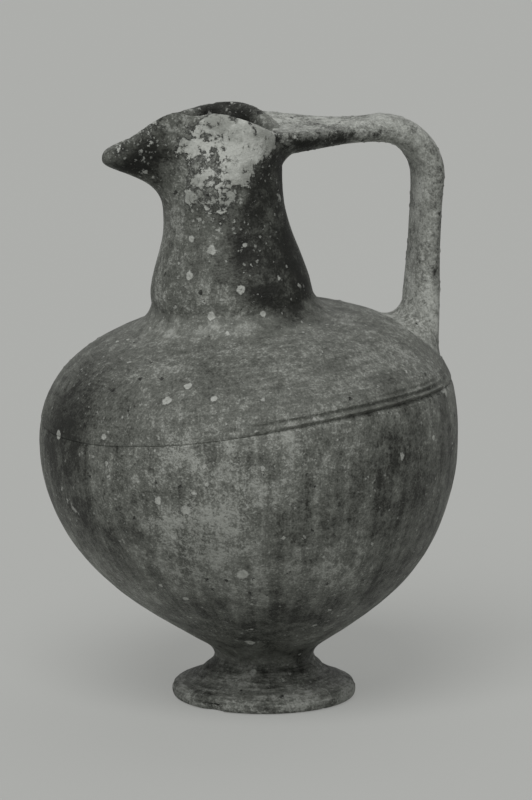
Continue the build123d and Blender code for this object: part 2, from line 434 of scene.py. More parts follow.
    @staticmethod
    def places(piece: Piece) -> np.ndarray:
        """Places of all points of a mesh, one row each, in millimetres.

        Args:
            piece: The piece.

        Returns:
            The places.
        """
        flat = np.zeros(3 * len(piece.data.vertices), np.float32)
        piece.data.vertices.foreach_get("co", flat)
        return flat.reshape(-1, 3) / MM

    @staticmethod
    def press(
        piece: Piece, name: str, depth: float, weight: Weight, mask: Optional[np.ndarray] = None
    ) -> None:
        """Raises or sinks a surface along its normals where a weight says.

        Args:
            piece: The piece to work.
            name: Name of the relief.
            depth: Height at weight one, in millimetres, negative to sink.
            weight: Gives 0 to 1 for a place in millimetres.
            mask: Shares of 0 to 1 for each point, where only some of the piece is worked.
        """
        group = piece.vertex_groups.new(name=name)
        places = Bench.places(piece)
        shares = np.ones(len(places)) if mask is None else mask
        for index in np.flatnonzero(shares > Bench.LEAST_SHARE).tolist():
            share = shares[index] * weight(Vector(places[index]))
            if share > Bench.LEAST_SHARE:
                group.add([index], min(share, 1.0), "REPLACE")
        relief = piece.modifiers.new(name, "DISPLACE")
        relief.vertex_group = name
        relief.mid_level = 0.0
        relief.strength = depth * MM
        Bench.apply(piece, relief)
        piece.vertex_groups.clear()

    @staticmethod
    def paint(piece: Piece, name: str, values: np.ndarray) -> None:
        """Stores a value at each point of a mesh for its material to read."""
        layer = piece.data.attributes.new(name, "FLOAT", "POINT")
        layer.data.foreach_set("value", np.ascontiguousarray(values, np.float32))

    @staticmethod
    def hand_in(piece: Piece, slot: str, *nodes: str) -> None:
        """Smooths a piece's shading, and seats it on the frame in place of its solids.

        Args:
            piece: The piece.
            slot: The record's material slot, which is not used.
            nodes: The solids it stands for.
        """
        Bench.pick(piece)
        bpy.ops.object.shade_smooth()
        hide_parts(*nodes)
        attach(piece, "root")
        LOG.info("%s: %d faces", piece.name, len(piece.data.polygons))


class Wiring:
    """Places and links the nodes of one material or node group."""

    def __init__(self, tree: bpy.types.NodeTree) -> None:
        """Starts from a tree with nothing in it."""
        self.tree = tree
        self.tree.nodes.clear()

    def add(self, kind: str, sockets: Optional[Sockets] = None, **settings: object) -> bpy.types.Node:
        """Adds a node, sets its properties and feeds its sockets.

        Args:
            kind: Type of the node.
            sockets: What each input is fed, by number or name.
            settings: The node's properties.

        Returns:
            The node.
        """
        node = self.tree.nodes.new(kind)
        for key, value in settings.items():
            setattr(node, key, value)
        for key, value in (sockets or {}).items():
            self.feed(node.inputs[key], value)
        return node

    def feed(self, socket: Socket, value: object) -> None:
        """Links another node's output to a socket, or sets the socket to a plain value.

        Args:
            socket: The input.
            value: An output, or a plain value.
        """
        if isinstance(value, Socket):
            self.tree.links.new(value, socket)
        elif isinstance(value, tuple) and len(value) == 3 and socket.type == "RGBA":
            socket.default_value = (*value, 1.0)
        else:
            socket.default_value = value

    def maths(self, kind: str, *values: object) -> Socket:
        """The output of a maths node."""
        return self.add("ShaderNodeMath", dict(enumerate(values)), operation=kind).outputs[0]

    def steer(self, kind: str, *values: object) -> Socket:
        """The output of a maths node for vectors."""
        return self.add("ShaderNodeVectorMath", dict(enumerate(values)), operation=kind).outputs[0]

    def parts(self, vector: object) -> Sequence[Socket]:
        """The three numbers of a vector."""
        return self.add("ShaderNodeSeparateXYZ", {0: vector}).outputs

    def vector(self, *numbers: object) -> Socket:
        """A vector of three numbers."""
        return self.add("ShaderNodeCombineXYZ", dict(enumerate(numbers))).outputs[0]

    def times(self, first: object, second: object) -> Socket:
        """One value times another."""
        return self.maths("MULTIPLY", first, second)

    def larger(self, first: object, second: object) -> Socket:
        """The larger of two values."""
        return self.maths("MAXIMUM", first, second)

    def lift(self, value: object, weight: object, base: object) -> Socket:
        """A base plus a value times a weight."""
        return self.maths("MULTIPLY_ADD", value, weight, base)

    def weigh(self, start: float, *parts: Tuple[object, float]) -> Socket:
        """A start value, raised and lowered by noises about their middle, each by its own weight.

        Args:
            start: The start value.
            parts: Each noise with its weight.

        Returns:
            The sum.
        """
        total: object = start - 0.5 * sum(weight for _, weight in parts)
        for value, weight in parts:
            total = self.lift(value, weight, total)
        return total

    def painted(self, name: str) -> Socket:
        """A value that was painted on the mesh."""
        return self.add("ShaderNodeAttribute", attribute_name=name).outputs["Fac"]

    def grain(self, vector: object, kind: Noise) -> Socket:
        """A noise of 0 to 1.

        Args:
            vector: Where it is read.
            kind: Which noise.

        Returns:
            Its value.
        """
        scale, detail, rough = kind.value
        sockets = {"Vector": vector, "Scale": scale, "Detail": detail, "Roughness": rough}
        return self.add("ShaderNodeTexNoise", sockets).outputs["Fac"]

    def between(self, value: object, low: object, high: object, kind: str = "SMOOTHSTEP") -> Socket:
        """A step from zero at low to one at high, smooth unless another kind is asked for."""
        sockets = {"Value": value, "From Min": low, "From Max": high}
        return self.add("ShaderNodeMapRange", sockets, interpolation_type=kind).outputs["Result"]

    def mix(self, share: object, under: object, over: object) -> Socket:
        """One colour laid over another by a share."""
        return self.add("ShaderNodeMix", {0: share, 6: under, 7: over}, data_type="RGBA").outputs[2]

    def group(self, tree: bpy.types.NodeTree, **inputs: object) -> bpy.types.Node:
        """Places a shared group with its own values."""
        return self.add("ShaderNodeGroup", inputs, node_tree=tree)


class SharedEffects:
    """Node groups that several clays use, each built once."""

    def __init__(self) -> None:
        """Builds every group."""
        self.strokes = self._strokes()
        self.specks = self._specks()
        self.crust = self._crust()

    @staticmethod
    def _start(
        name: str, inputs: Dict[str, object], outputs: Sequence[str]
    ) -> Tuple[Wiring, Dict[str, Socket], bpy.types.Node]:
        """Opens a group with named sockets.

        Args:
            name: Name of the group.
            inputs: Input names with their default, where None means a vector.
            outputs: Names of the values it gives out.

        Returns:
            The wiring, the input sockets by name and the output node.
        """
        tree = bpy.data.node_groups.new(name, "ShaderNodeTree")
        for key, value in inputs.items():
            kind = "NodeSocketVector" if value is None else "NodeSocketFloat"
            socket = tree.interface.new_socket(name=key, in_out="INPUT", socket_type=kind)
            if value is not None:
                socket.default_value = value
        for key in outputs:
            tree.interface.new_socket(name=key, in_out="OUTPUT", socket_type="NodeSocketFloat")
        wiring = Wiring(tree)
        entry = wiring.add("NodeGroupInput")
        leave = wiring.add("NodeGroupOutput")
        return wiring, {key: entry.outputs[key] for key in inputs}, leave

    def _strokes(self) -> bpy.types.NodeTree:
        """Streaks left by the tool, upright on the wall or around the axis.

        Returns:
            The node group.
        """
        wiring, entry, leave = self._start("tool_strokes", {"Vector": None}, ["Upright", "Around"])
        across, deep, high = wiring.parts(entry["Vector"])
        squares = wiring.maths("ADD", wiring.times(across, across), wiring.times(deep, deep))
        radius = wiring.larger(wiring.maths("SQRT", squares), 0.001)
        side = wiring.maths("DIVIDE", across, radius)
        front = wiring.maths("DIVIDE", deep, radius)
        upright = wiring.vector(wiring.times(side, 0.08), wiring.times(front, 0.08), wiring.times(high, 0.1))
        level = wiring.maths("SUBTRACT", high, radius)
        around = wiring.vector(wiring.times(side, 0.006), wiring.times(front, 0.006), level)
        wiring.feed(leave.inputs["Upright"], wiring.grain(upright, Noise.UPRIGHT_STREAKS))
        wiring.feed(leave.inputs["Around"], wiring.grain(around, Noise.STREAKS_AROUND))
        return wiring.tree

    def _specks(self) -> bpy.types.NodeTree:
        """Scattered specks: one in each chosen cell, large or small, with a ragged outline.

        Returns:
            The node group.
        """
        names = {"Vector": None, "Scale": 300.0, "Cover": 0.2, "Size": 0.3}
        wiring, entry, leave = self._start("scattered_specks", names, ["Mask"])
        finer = wiring.times(entry["Scale"], 1.6)
        sockets = {"Vector": entry["Vector"], "Scale": finer, "Detail": 4.0, "Roughness": 0.65}
        ragged = wiring.add("ShaderNodeTexNoise", sockets)
        centred = wiring.steer("SUBTRACT", ragged.outputs["Color"], (0.5, 0.5, 0.5))
        reach = wiring.maths("DIVIDE", 1.3, entry["Scale"])
        stretched = wiring.add("ShaderNodeVectorMath", {0: centred, "Scale": reach}, operation="SCALE")
        bent = wiring.steer("ADD", entry["Vector"], stretched.outputs[0])
        cells = wiring.add("ShaderNodeTexVoronoi", {"Vector": bent, "Scale": entry["Scale"]})
        lots = wiring.add("ShaderNodeSeparateColor", {0: cells.outputs["Color"]})
        chosen = wiring.maths("LESS_THAN", lots.outputs[0], entry["Cover"])
        own_size = wiring.lift(wiring.maths("POWER", lots.outputs[1], 3.0), 0.8, 0.25)
        own_size = wiring.times(entry["Size"], own_size)
        outside = wiring.between(cells.outputs["Distance"], wiring.times(own_size, 0.7), own_size)
        wiring.feed(leave.inputs["Mask"], wiring.times(chosen, wiring.maths("SUBTRACT", 1.0, outside)))
        return wiring.tree

    def _crust(self) -> bpy.types.NodeTree:
        """Lime crust that breaks up into flakes where the field it grew on is thin.

        Its edge is a painted shadow line under the flakes, and its wear is low where the lime has worn thin.

        Returns:
            The node group.
        """
        wiring, entry, leave = self._start(
            "lime_crust", {"Vector": None, "Field": 0.0}, ["Mask", "Edge", "Wear", "Height"]
        )
        flakes = wiring.grain(entry["Vector"], Noise.FLAKES)
        islands = wiring.grain(entry["Vector"], Noise.ISLANDS)
        cover = wiring.maths("ADD", entry["Field"], wiring.weigh(0.0, (flakes, 1.1), (islands, 1.0)))
        mask = wiring.between(cover, 0.46, 0.54)
        near = wiring.between(cover, 0.36, 0.46)
        wiring.feed(leave.inputs["Mask"], mask)
        wiring.feed(leave.inputs["Edge"], wiring.maths("SUBTRACT", near, mask))
        broad = wiring.grain(entry["Vector"], Noise.WEAR)
        wear = wiring.weigh(0.5, (broad, 1.6), (islands, 0.8), (flakes, 0.7))
        wiring.feed(leave.inputs["Wear"], wiring.between(wear, 0.38, 0.74))
        wiring.feed(leave.inputs["Height"], wiring.lift(flakes, 0.7, mask))
        return wiring.tree


@dataclass(frozen=True)
class Grains:
    """The noises and painted masks that a clay is mixed from."""

    place: Socket
    strokes: Socket
    clouds: Socket
    mottle: Socket
    scabs: Socket
    grit: Socket
    dust_and_highlight_mask: Socket
    soot_and_shade_mask: Socket


@dataclass(frozen=True)
class ClayFinish:
    """Fired grey clay: its tones, its tool strokes, how much lime and dirt lie on it, and its painted shade
    and highlight.

    The relief is the depth of the fine roughness, and the wall is trimmed below a height, in millimetres.
    """

    name: str
    stroke: Stroke
    dark: Colour = grey(36, 37, 32)
    middle: Colour = grey(104, 106, 100)
    pale: Colour = grey(152, 154, 148)
    # Pale dust colour, which also gives the painted highlight along the strap's top.
    dust_and_highlight_colour: Colour = grey(158, 160, 154)
    lime: Colour = grey(184, 186, 180)
    worn_lime: Colour = grey(148, 150, 144)
    # Near-black of soot, also used as painted shade: on shaded sides, in pits and under the crust's flakes.
    soot_and_shade: Colour = grey(22, 23, 19)
    stroke_share: float = 0.4
    mottling: float = 1.35
    scabbing: float = 0.6
    gritting: float = 0.6
    dust_and_highlight: float = 0.5
    speck_cover: float = 0.16
    pit_cover: float = 0.10
    roughness: float = 0.62
    relief: float = 0.9
    trimmed_below: float = 0.0

    def _strokes(self, wiring: Wiring, effects: SharedEffects, axis: object, place: object) -> Socket:
        """Streaks of the tool, which run around wherever the piece was trimmed on the wheel.

        Args:
            wiring: The material's wiring.
            effects: The shared node groups.
            axis: Places about the axis of the strokes.
            place: Places on the piece.

        Returns:
            The streaks.
        """
        both = wiring.group(effects.strokes, Vector=axis)
        strokes = both.outputs[self.stroke.value]
        if self.trimmed_below:
            top = self.trimmed_below * MM
            upper = wiring.between(wiring.parts(place)[2], 0.7 * top, top)
            lower = wiring.maths("SUBTRACT", 1.0, upper)
            around = wiring.times(both.outputs[Stroke.AROUND.value], lower)
            strokes = wiring.lift(strokes, upper, around)
        return strokes

    def _grains(self, wiring: Wiring, effects: SharedEffects, lean: Optional[Lean]) -> Grains:
        """The noises of this clay, its strokes set about the lean of the piece.

        Args:
            wiring: The material's wiring.
            effects: The shared node groups.
            lean: The lean of the piece, if its strokes follow it.

        Returns:
            The clay's noises and masks.
        """
        place = wiring.add("ShaderNodeTexCoord").outputs["Object"]
        axis = place
        if lean is not None:
            turn = (0.0, -math.radians(lean.tilt), 0.0)
            sockets = {"Vector": place, "Location": lean.upper().translation * MM, "Rotation": turn}
            axis = wiring.add("ShaderNodeMapping", sockets, vector_type="TEXTURE").outputs["Vector"]
        return Grains(
            place=place,
            strokes=self._strokes(wiring, effects, axis, place),
            clouds=wiring.grain(place, Noise.CLOUDS),
            mottle=wiring.grain(place, Noise.MOTTLE),
            scabs=wiring.grain(place, Noise.SCABS),
            grit=wiring.grain(place, Noise.GRIT),
            dust_and_highlight_mask=wiring.painted("dust_and_highlight"),
            soot_and_shade_mask=wiring.painted("soot_and_shade"),
        )

    def _clay(self, wiring: Wiring, grains: Grains) -> Socket:
        """The colour of the bare clay, from dark to pale, with soot and painted shade in it, and dust and a
        painted highlight on it.

        Args:
            wiring: The material's wiring.
            grains: The clay's noises and masks.

        Returns:
            The colour.
        """
        tone = wiring.weigh(
            0.5,
            (grains.clouds, 0.4),
            (grains.mottle, self.mottling),
            (grains.strokes, self.stroke_share),
            (grains.scabs, self.scabbing),
            (grains.grit, self.gritting),
        )
        # Soot darkens the tone and dust raises it. The same fields also carry painted shade on shaded sides
        # and a painted highlight along the strap's top.
        tone = wiring.lift(grains.soot_and_shade_mask, -0.46, wiring.lift(grains.dust_and_highlight_mask, 0.1, tone))
        colour = wiring.mix(wiring.between(tone, 0.06, 0.5, "LINEAR"), self.dark, self.middle)
        colour = wiring.mix(wiring.between(tone, 0.5, 0.85, "LINEAR"), colour, self.pale)
        # Painted shade as well as soot: where this field is strong, the colour runs to near-black.
        thick_soot_and_shade = wiring.between(grains.soot_and_shade_mask, 0.5, 1.15)
        colour = wiring.mix(wiring.times(thick_soot_and_shade, wiring.between(grains.mottle, 0.7, 0.35)), colour, self.soot_and_shade)
        settled = wiring.weigh(
            0.4, (grains.clouds, 0.6), (grains.mottle, 1.0), (grains.scabs, 1.2), (grains.grit, 1.3)
        )
        # Dust settles more where this field is high, and that also lays the painted highlight along the
        # strap's top.
        settled = wiring.lift(grains.soot_and_shade_mask, -0.3, wiring.lift(grains.dust_and_highlight_mask, 0.22, settled))
        dust_and_highlight = wiring.between(settled, 0.52, 0.74)
        return wiring.mix(wiring.times(dust_and_highlight, self.dust_and_highlight), colour, self.dust_and_highlight_colour)

    def _lime(self, wiring: Wiring, effects: SharedEffects, grains: Grains) -> Socket:
        """Where lime lies in specks of three sizes, thicker in clusters, and in painted flecks.

        Args:
            wiring: The material's wiring.
            effects: The shared node groups.
            grains: The clay's noises and masks.

        Returns:
            The share of lime.
        """
        place = grains.place
        cluster = wiring.between(wiring.grain(place, Noise.CLUSTERS), 0.47, 0.62)
        cluster = wiring.lift(grains.dust_and_highlight_mask, 0.6, cluster)
        cover = wiring.lift(cluster, self.speck_cover, 0.15 * self.speck_cover)
        dense = wiring.times(cover, 1.6)
        sparse = 0.4 * self.speck_cover
        tiny = wiring.group(effects.specks, Vector=place, Scale=620.0, Cover=dense, Size=0.5)
        small = wiring.group(effects.specks, Vector=place, Scale=330.0, Cover=cover, Size=0.46)
        large = wiring.group(effects.specks, Vector=place, Scale=150.0, Cover=sparse, Size=0.36)
        specks = wiring.larger(small.outputs["Mask"], large.outputs["Mask"])
        specks = wiring.larger(specks, wiring.times(tiny.outputs["Mask"], 0.7))
        heart = wiring.maths("ADD", wiring.painted("fleck"), wiring.weigh(0.0, (grains.scabs, 0.6)))
        rim = wiring.between(heart, 0.42, 0.58)
        fleck = wiring.maths("SUBTRACT", rim, wiring.times(wiring.between(heart, 0.8, 0.95), 0.5))
        return wiring.larger(wiring.times(specks, 0.75), wiring.times(fleck, 0.85))

    def material(self, effects: SharedEffects, lean: Optional[Lean] = None) -> bpy.types.Material:
        """Wires the finish into a material.

        Args:
            effects: The shared node groups.
            lean: The lean of the piece, if its strokes follow it.

        Returns:
            The material.
        """
        material = bpy.data.materials.new(self.name)
        material.use_nodes = True
        wiring = Wiring(material.node_tree)
        grains = self._grains(wiring, effects, lean)
        scabs = grains.scabs
        colour = self._clay(wiring, grains)
        lime = self._lime(wiring, effects, grains)
        lime_tone = wiring.mix(wiring.between(scabs, 0.35, 0.65), self.dust_and_highlight_colour, self.lime)
        colour = wiring.mix(lime, colour, lime_tone)

        field = wiring.lift(grains.soot_and_shade_mask, -0.45, wiring.painted("crust"))
        crust = wiring.group(effects.crust, Vector=grains.place, Field=field)
        # Painted shadow: a dark line round the crust's edge, under its flakes.
        colour = wiring.mix(wiring.times(crust.outputs["Edge"], 0.65), colour, self.soot_and_shade)
        crust_tone = wiring.mix(crust.outputs["Wear"], self.worn_lime, self.lime)
        crust_tone = wiring.mix(wiring.between(scabs, 0.57, 0.7), crust_tone, self.middle)
        colour = wiring.mix(crust.outputs["Mask"], colour, crust_tone)
        pits = wiring.group(effects.specks, Vector=grains.place, Scale=300.0, Cover=self.pit_cover, Size=0.32)
        # Painted shade in the pits: they are darkened in colour as well as sunk in the bump.
        colour = wiring.mix(wiring.times(pits.outputs["Mask"], 0.85), colour, self.soot_and_shade)

        height = wiring.weigh(
            0.5, (grains.strokes, 0.3), (grains.mottle, 0.4), (scabs, 0.5), (grains.grit, 0.3)
        )
        height = wiring.lift(lime, 0.4, height)
        height = wiring.lift(crust.outputs["Height"], 0.6, height)
        height = wiring.lift(pits.outputs["Mask"], -0.7, height)
        bump = wiring.add("ShaderNodeBump", {"Strength": 1.0, "Distance": self.relief * MM, "Height": height})

        sheen = wiring.lift(scabs, 0.3, wiring.times(crust.outputs["Mask"], 0.25))
        sockets = {
            "Base Color": colour,
            "Roughness": wiring.maths("ADD", sheen, self.roughness - 0.15),
            "Normal": bump.outputs["Normal"],
            "Specular IOR Level": 0.35,
        }
        surface = wiring.add("ShaderNodeBsdfPrincipled", sockets)
        wiring.add("ShaderNodeOutputMaterial", {"Surface": surface.outputs["BSDF"]})
        return material


BURNISHED = ClayFinish(
    "burnished_clay_finish", Stroke.UPRIGHT, stroke_share=0.9, scabbing=0.8, gritting=1.05,
    speck_cover=0.2, pit_cover=0.17, roughness=0.55, relief=1.2, trimmed_below=46.0,
)
WIPED = ClayFinish(
    "wiped_clay_finish", Stroke.AROUND, middle=grey(102, 104, 98), mottling=0.9, scabbing=0.85,
    gritting=1.0, relief=1.35,
)
TURNED = ClayFinish(
    "foot_clay_finish", Stroke.AROUND, stroke_share=1.5, scabbing=0.9, gritting=0.9,
    speck_cover=0.2, pit_cover=0.15, relief=1.2,
)
CRUSTED = ClayFinish(
    "crusted_clay_finish", Stroke.AROUND, middle=grey(98, 100, 94), stroke_share=0.1,
    scabbing=0.9, gritting=0.9, speck_cover=0.42, pit_cover=0.22, relief=1.15,
)
STRAP = ClayFinish(
    "strap_clay_finish", Stroke.AROUND, middle=grey(142, 144, 138), pale=grey(176, 178, 172),
    dust_and_highlight_colour=grey(182, 184, 178), stroke_share=0.0, mottling=1.6, scabbing=1.1, gritting=1.1,
    speck_cover=0.3, pit_cover=0.2, relief=1.15,
)
LUTING = ClayFinish("luting_clay_finish", Stroke.AROUND, stroke_share=0.3)
STRAP_LUTING = ClayFinish(
    "strap_luting_clay_finish", Stroke.AROUND, middle=grey(120, 122, 116),
    pale=grey(164, 166, 160), dust_and_highlight_colour=grey(172, 174, 168), stroke_share=0.0, mottling=1.4,
    scabbing=0.9, gritting=0.9, speck_cover=0.25, relief=1.15,
)
LOW_LUTING = ClayFinish("low_luting_clay_finish", Stroke.AROUND, stroke_share=0.8, speck_cover=0.08)


@dataclass(frozen=True)
class Patch:
    """A spot on the jug: its place and radius in millimetres, and its strength."""

    place: Place
    radius: float
    strength: float = 1.0

    def away(self, places: np.ndarray) -> np.ndarray:
        """How far places lie from the spot's heart, in radii."""
        return np.linalg.norm(places - np.array(self.place), axis=1) / self.radius


def patches(*rows: Sequence[float]) -> Tuple[Patch, ...]:
    """Spots from rows of place, radius and, unless it is one, strength."""
    return tuple(Patch(row[:3], *row[3:]) for row in rows)


def ring_of_patches(
    radius: float, height: float, count: int, size: float, strength: float
) -> Tuple[Patch, ...]:
    """Spots set evenly round the upright axis, such as wear along an edge.

    Args:
        radius: Distance from the axis, in millimetres.
        height: Height above the floor, in millimetres.
        count: How many spots.
        size: Radius of each, in millimetres.
        strength: Strength of each.

    Returns:
        The spots.
    """
    turns = [math.tau * step / count for step in range(count)]
    places = [(radius * math.cos(turn), radius * math.sin(turn), height) for turn in turns]
    return tuple(Patch(place, size, strength) for place in places)


@dataclass
class Weathering:
    """Where lime, dust and soot have settled on the jug, and where shade and a highlight are painted on it.
    """

    flecks: Tuple[Patch, ...] = patches(
        (-30.8, -68, 65.9, 2.6), (-57.4, -54, 134.4, 2.2), (-41.5, -64.7, 136.3, 1.7),
        (-48.8, -54.2, 139.9, 1.9), (-88.6, -10.5, 114.3, 2), (-79.2, -39.5, 118.6, 1.7),
        (-30.9, -27.6, 161.9, 2), (-11, -32.7, 162.4, 1.5), (-63.2, -60.7, 96.2, 1.8),
        (-47.5, -45.5, 52.5, 1.6), (-56.4, -42.1, 58.1, 1.2), (-56.8, -60.9, 81.4, 1.5),
        (-47.2, -73.5, 104.1, 1.2), (-17.4, -78.7, 82.1, 1.2), (-15.9, -31, 29.2, 2.4),
        (50.4, -61.9, 114.3, 1.4), (-29.3, -22.5, 187.3, 2.2), (-35.6, -16.4, 191, 1.6),
        (-37.2, -18.9, 176.7, 1.9), (-16.3, -26.1, 189.2, 1.2), (-34.5, -17, 207.1, 2.4),
        (-19.4, -30.5, 172.1, 2), (-10.8, -19, 14.2, 1.7),
    )
    crust: Tuple[Patch, ...] = patches(
        (-15, -22, 226, 14, 1.05), (-6, -20, 230, 12), (-15, -23, 216, 10, 0.95),
        (-21, -23.5, 209, 9, 0.8), (-24, -23.5, 202, 7, 0.68), (-24, -19, 235, 10, 0.85),
        (-33, -16, 226, 13, 0.76), (-31, -18, 217, 9, 0.74), (-35, -16.5, 207, 4, 0.8),
        (-28, -21, 207, 7, 0.7), (-50, -11, 230, 10, 0.68), (-60, -8, 226, 8, 0.72),
    )
    dust_and_highlight: Tuple[Patch, ...] = patches(
        (-66, -59, 114, 13, 0.4), (-50, -72, 116, 14, 0.6), (-28, -81, 111, 16, 0.5),
        (-14, -84, 110, 15, 0.4), (-47, -69, 85, 13, 0.7), (-34, -74, 81, 13, 0.5),
        (-59, -62, 88, 12, 0.6), (-50, -60, 72, 11, 0.6), (13, -70, 65, 12, 0.4),
        (-30, -41, 152, 11, 0.6), (24, -54, 149, 24, 0.3), (46, -42, 146, 18, 0.4),
        (59, -8, 157, 12, 0.9), (61, 12, 155, 11, 0.5), (56, -4, 152, 11, 0.7),
        (63, -18, 149, 10, 0.6), (55, -9, 222, 7, 0.7), (61, -2, 208, 7, 0.7), (61, 0, 194, 7, 0.5),
        # The first three patches on the next row run along the top of the strap: a painted highlight, not
        # dust.
        (12, 0, 236, 12, 1), (26, 0, 237, 13, 1), (40, 0, 238, 13, 0.8), (-32, -16, 3, 9, 0.8),
        (-40, -5, 200, 9, 0.8), (-32, -15, 231, 10, 0.6),
    ) + ring_of_patches(36.5, 1.0, 26, 4.0, 0.9)
    # Partly real soot and dark firing clouds, partly painted shade: the shaded right side of the neck, the
    # strap's near flank, the beak's underside, the belly's left edge and its lower part.
    soot_and_shade: Tuple[Patch, ...] = patches(
        (-5, -21, 208, 11, 1), (2, -16, 215, 9, 1), (-5, -24, 196, 15, 1), (-2, -25, 182, 15, 1),
        (4, -27, 170, 15, 0.8), (-14, -27, 184, 11, 0.5), (10, -22, 186, 13, 0.6),
        (-9, -30, 174, 12, 0.6), (-68, -18, 141, 22, 0.22), (-50, -52, 138, 20, 0.18),
        (-18, 15, 231, 12, 1), (-7, 14, 234, 9, 0.9), (7, -20, 222, 9, 0.8), (15, -19, 222, 8, 0.8),
        (22, -18, 223, 8, 0.75), (29, -17, 224, 8, 0.55), (37, -16, 225, 8, 0.4),
        (45, -15, 226, 7, 0.3), (71, -10, 222, 6, 0.4), (72, -11, 212, 6, 0.45),
        (73, -10, 200, 6, 0.45), (74, -9, 188, 6, 0.45), (74, -10, 176, 7, 0.4),
        (72, 0, 138, 10, 0.5), (22, 0, 220, 14, 0.7), (-58, -6, 219, 10, 0.9),
        (-48, -11, 224, 9, 0.8), (-89, -14, 108, 25, 0.7), (-78, -32, 82, 20, 0.5),
        (-82, -10, 130, 24, 0.4), (-56, -67, 101, 7, 0.6), (22, -79, 107, 18, 0.35),
        (46, -64, 96, 36, 0.5), (-24, -42, 38, 20, 0.65), (4, -50, 42, 20, 0.6),
        (34, -44, 56, 20, 0.4), (6, -19, 17, 12, 0.6), (10, 78, 80, 40, 0.4),
        (-40, 62, 120, 34, 0.3),
    )

    @staticmethod
    def thickest(patches: Sequence[Patch], places: np.ndarray) -> np.ndarray:
        """The field of the patch that lies thickest at each place, sloping off from its heart.

        Args:
            patches: The patches.
            places: Places in millimetres, one row each.

        Returns:
            The field at each place.
        """
        best = np.zeros(len(places))
        for patch in patches:
            best = np.maximum(best, patch.strength * (1 - 0.55 * patch.away(places)))
        return best

    @staticmethod
    def gathered(patches: Sequence[Patch], places: np.ndarray) -> np.ndarray:
        """The soft sum of all patches at each place, up to one.

        Args:
            patches: The patches.
            places: Places in millimetres, one row each.

        Returns:
            The sum at each place.
        """
        total = np.zeros(len(places))
        for patch in patches:
            total += patch.strength * np.exp(-(patch.away(places) ** 2))
        return np.minimum(total, 1.0)

    def lay_on(self, piece: Piece) -> None:
        """Stores on a piece where lime, dust and soot lie and where shade and a highlight are painted, for
        its material.

        Args:
            piece: The piece.
        """
        places = Bench.places(piece)
        Bench.paint(piece, "crust", self.thickest(self.crust, places))
        Bench.paint(piece, "fleck", self.thickest(self.flecks, places))
        Bench.paint(piece, "dust_and_highlight", self.gathered(self.dust_and_highlight, places))
        Bench.paint(piece, "soot_and_shade", self.gathered(self.soot_and_shade, places))


@dataclass
class Seam:
    """The groove where the shoulder was set on the belly, wandering and doubled at one side."""

    depth: float = 0.2
    lap: float = 1.8
    wander: float = 6.4
    rest: float = -1.2
    wander_turn: float = -75.0
    wander_spread: float = 55.0
    reach: float = 22.0
    doubled_from: float = -118.0
    doubled_full: float = -92.0
    doubled_until: float = -48.0
    doubled_end: float = -30.0
    third_from: float = -85.0
    third_full: float = -60.0
    spacing: float = 3.1
    spacing_drift: float = 0.7
    third_spacing: float = 2.2

    def rise(self, angle: float) -> float:
        """How far the groove strays above the seam's own height, by direction."""
        return self.rest + self.wander * hump(turn_between(angle, self.wander_turn), 0, self.wander_spread)

    def stray(self, piece: Piece, lean: Lean) -> None:
        """Moves the rings near the seam up or down with the groove.

        Args:
            piece: A thrown wall that ends at the seam, not yet subdivided.
            lean: The lean of the jug.
        """
        up = (lean.upper().to_3x3() @ Vector((0, 0, 1))).normalized()
        for vertex in piece.data.vertices:
            angle, _, height = lean.upper_place(vertex.co / MM)
            share = 1 - fade(abs(height - lean.seam_height), 1.0, self.reach)
            vertex.co += up * (self.rise(angle) * share * MM)

    def lapped(self, rim: Point, up: int) -> List[Point]:
        """The edge of a wall, tucked in under the other wall from the groove, up or down.

        Args:
            rim: The wall's rim.
            up: 1 to tuck up, -1 to tuck down.

        Returns:
            Points from the groove in.
        """
        return [
            (rim[0] - self.depth, rim[1] + up * 0.1),
            (rim[0] - 1.6, rim[1] + up * 0.5 * self.lap),
            (rim[0] - 3.2, rim[1] + up * self.lap),
        ]

    def side(self, angle: float) -> float:
        """How strongly the groove is doubled, by direction.

        Args:
            angle: A direction in degrees.

        Returns:
            The strength, 0 to 1.
        """
        start = fade(turn_between(angle, self.doubled_from), 0, self.doubled_full - self.doubled_from)
        end = fade(turn_between(angle, self.doubled_until), 0, self.doubled_end - self.doubled_until)
        return start * (1 - end)

    def gap(self, angle: float) -> float:
        """How far the second line runs above the groove."""
        return self.spacing + self.spacing_drift * math.sin(math.radians(angle) * 2.0)

    def above(self, lean: Lean, place: Vector) -> Tuple[float, float]:
        """The direction of a place, in degrees, and its height above the groove."""
        angle, _, height = lean.upper_place(place)
        return (angle, height - lean.seam_height - self.rise(angle))

    def lines(self, lean: Lean) -> Weight:
        """The weight of the groove's widening and of the lines beside it.

        Args:
            lean: The lean of the jug.

        Returns:
            The weight.
        """

        def weight(place: Vector) -> float:
            """The deepest of the widened groove, the second line and the faint third.

            Args:
                place: A place in millimetres.

            Returns:
                The weight, 0 to 1.
            """
            angle, above = self.above(lean, place)
            widened = 0.6 * hump(above, 0, 0.9)
            second = hump(above, self.gap(angle), 0.7)
            third = 0.5 * hump(above, self.gap(angle) + self.third_spacing, 0.5)
            third *= fade(turn_between(angle, self.third_from), 0, self.third_full - self.third_from)
            return self.side(angle) * max(widened, second, third)

        return weight

    def ridge(self, lean: Lean) -> Weight:
        """The weight of the clay pushed up between the two lines.

        Args:
            lean: The lean of the jug.

        Returns:
            The weight.
        """

        def weight(place: Vector) -> float:
            """A ridge half way between the lines."""
            angle, above = self.above(lean, place)
            return self.side(angle) * hump(above, 0.5 * self.gap(angle), 0.7)

        return weight


